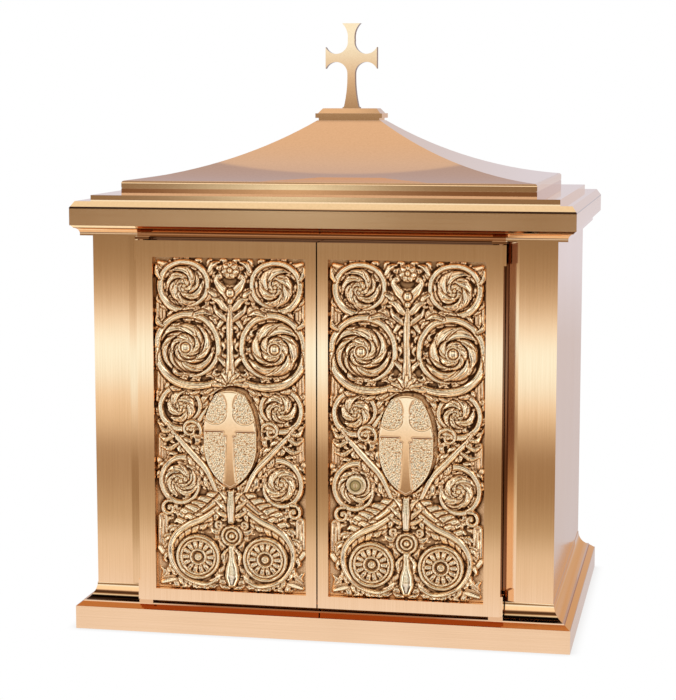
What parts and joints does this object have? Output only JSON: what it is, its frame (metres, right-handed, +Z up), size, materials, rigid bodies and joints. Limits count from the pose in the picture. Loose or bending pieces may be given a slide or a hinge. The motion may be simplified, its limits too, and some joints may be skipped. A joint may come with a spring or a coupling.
{
  "type": "tabernacle box",
  "caption": "Metal-clad altar tabernacle: strong box with relief double doors, stepped base and cornice, concave hipped roof and cross.",
  "frame": {"origin": "middle of the underside", "axes": "+X to the viewer's right, doors face -Y, +Z up to the cross"},
  "size_m": [0.56, 0.41, 0.685],
  "materials": {
    "bronze_satin": "vertical-grain brushed bronze, lacquered",
    "bronze_polished": "polished bronze, lacquered",
    "bronze_cast": "cast bronze, dark oxidised recesses, polished high points",
    "lock_brass": "machined brass",
    "gilt_sheet": "bright gilt sheet",
    "steel_plate": "mill finish steel plate",
    "steel_parts": "bright steel",
    "felt_red": "dense felt"
  },
  "bodies": {
    "case": {"base_slab": "bronze_satin", "floor_plate": "steel_plate", "base_moulding": "bronze_polished", "left_side": "bronze_satin", "right_side": "bronze_satin", "back_panel": "bronze_satin", "left_pilaster": "bronze_satin", "right_pilaster": "bronze_satin", "header_strip": "bronze_satin", "sill_strip": "bronze_satin", "box_floor": "steel_plate", "box_roof": "steel_plate", "box_left": "steel_plate", "box_right": "steel_plate", "box_back": "steel_plate", "lining_floor": "gilt_sheet", "lining_roof": "gilt_sheet", "lining_left": "gilt_sheet", "lining_right": "gilt_sheet", "lining_back": "gilt_sheet", "anchor_sleeves": "steel_parts", "cornice_moulding": "bronze_polished", "fascia": "bronze_satin", "cornice_slope": "bronze_polished", "cornice_step": "bronze_polished", "roof_plinth": "bronze_polished", "roof_shell": "bronze_polished", "cap_neck": "bronze_polished", "cap_plate": "bronze_polished", "cap_tier": "bronze_polished", "top_cross": "bronze_polished", "cross_stud": "steel_parts", "cross_nut": "steel_parts", "upper_pivots": "bronze_polished", "lower_pivots": "bronze_polished", "door_buffers": "felt_red"},
    "left_door": {"left_frame": "bronze_satin", "left_panel": "bronze_cast", "left_shield": "bronze_cast", "left_shield_cross": "bronze_polished", "left_backplate": "bronze_satin", "left_straps": "bronze_polished", "left_screws": "steel_parts", "lock_keeper": "steel_parts", "flush_guides": "steel_parts"},
    "upper_bolt": {"upper_flush_bolt": "steel_parts"},
    "lower_bolt": {"lower_flush_bolt": "steel_parts"},
    "right_door": {"right_frame": "bronze_satin", "right_panel": "bronze_cast", "right_shield": "bronze_cast", "right_shield_cross": "bronze_polished", "right_backplate": "bronze_satin", "right_straps": "bronze_polished", "right_screws": "steel_parts", "lock_cylinder": "lock_brass", "lock_nut": "steel_parts", "lock_case": "steel_parts"},
    "plug": {"lock_plug": "lock_brass"},
    "lock_tongue": {"lock_bolt": "steel_parts"}
  },
  "joints": [
    {"name": "left_door_hinge", "type": "hinge", "parent": "case", "child": "left_door", "pos_m": [-0.1994, -0.19625, 0.24], "axis": [0, 0, 1], "range_deg": [-105, 0]},
    {"name": "right_door_hinge", "type": "hinge", "parent": "case", "child": "right_door", "pos_m": [0.1994, -0.19625, 0.24], "axis": [0, 0, 1], "range_deg": [0, 105]},
    {"name": "lock_turn", "type": "hinge", "parent": "right_door", "child": "plug", "pos_m": [0.043, -0.196, 0.177], "axis": [0, 1, 0], "range_deg": [0, 90]},
    {"name": "lock_bolt_slide", "type": "slide", "parent": "right_door", "child": "lock_tongue", "axis": [-1, 0, 0], "range_m": [0, 0.01202]},
    {"name": "upper_bolt_slide", "type": "slide", "parent": "left_door", "child": "upper_bolt", "axis": [0, 0, 1], "range_m": [0, 0.012]},
    {"name": "lower_bolt_slide", "type": "slide", "parent": "left_door", "child": "lower_bolt", "axis": [0, 0, -1], "range_m": [0, 0.012]}
  ],
  "couplings": [
    {"joint": "lock_turn", "follows": "lock_bolt_slide", "rad_per_m": 130.67}
  ]
}
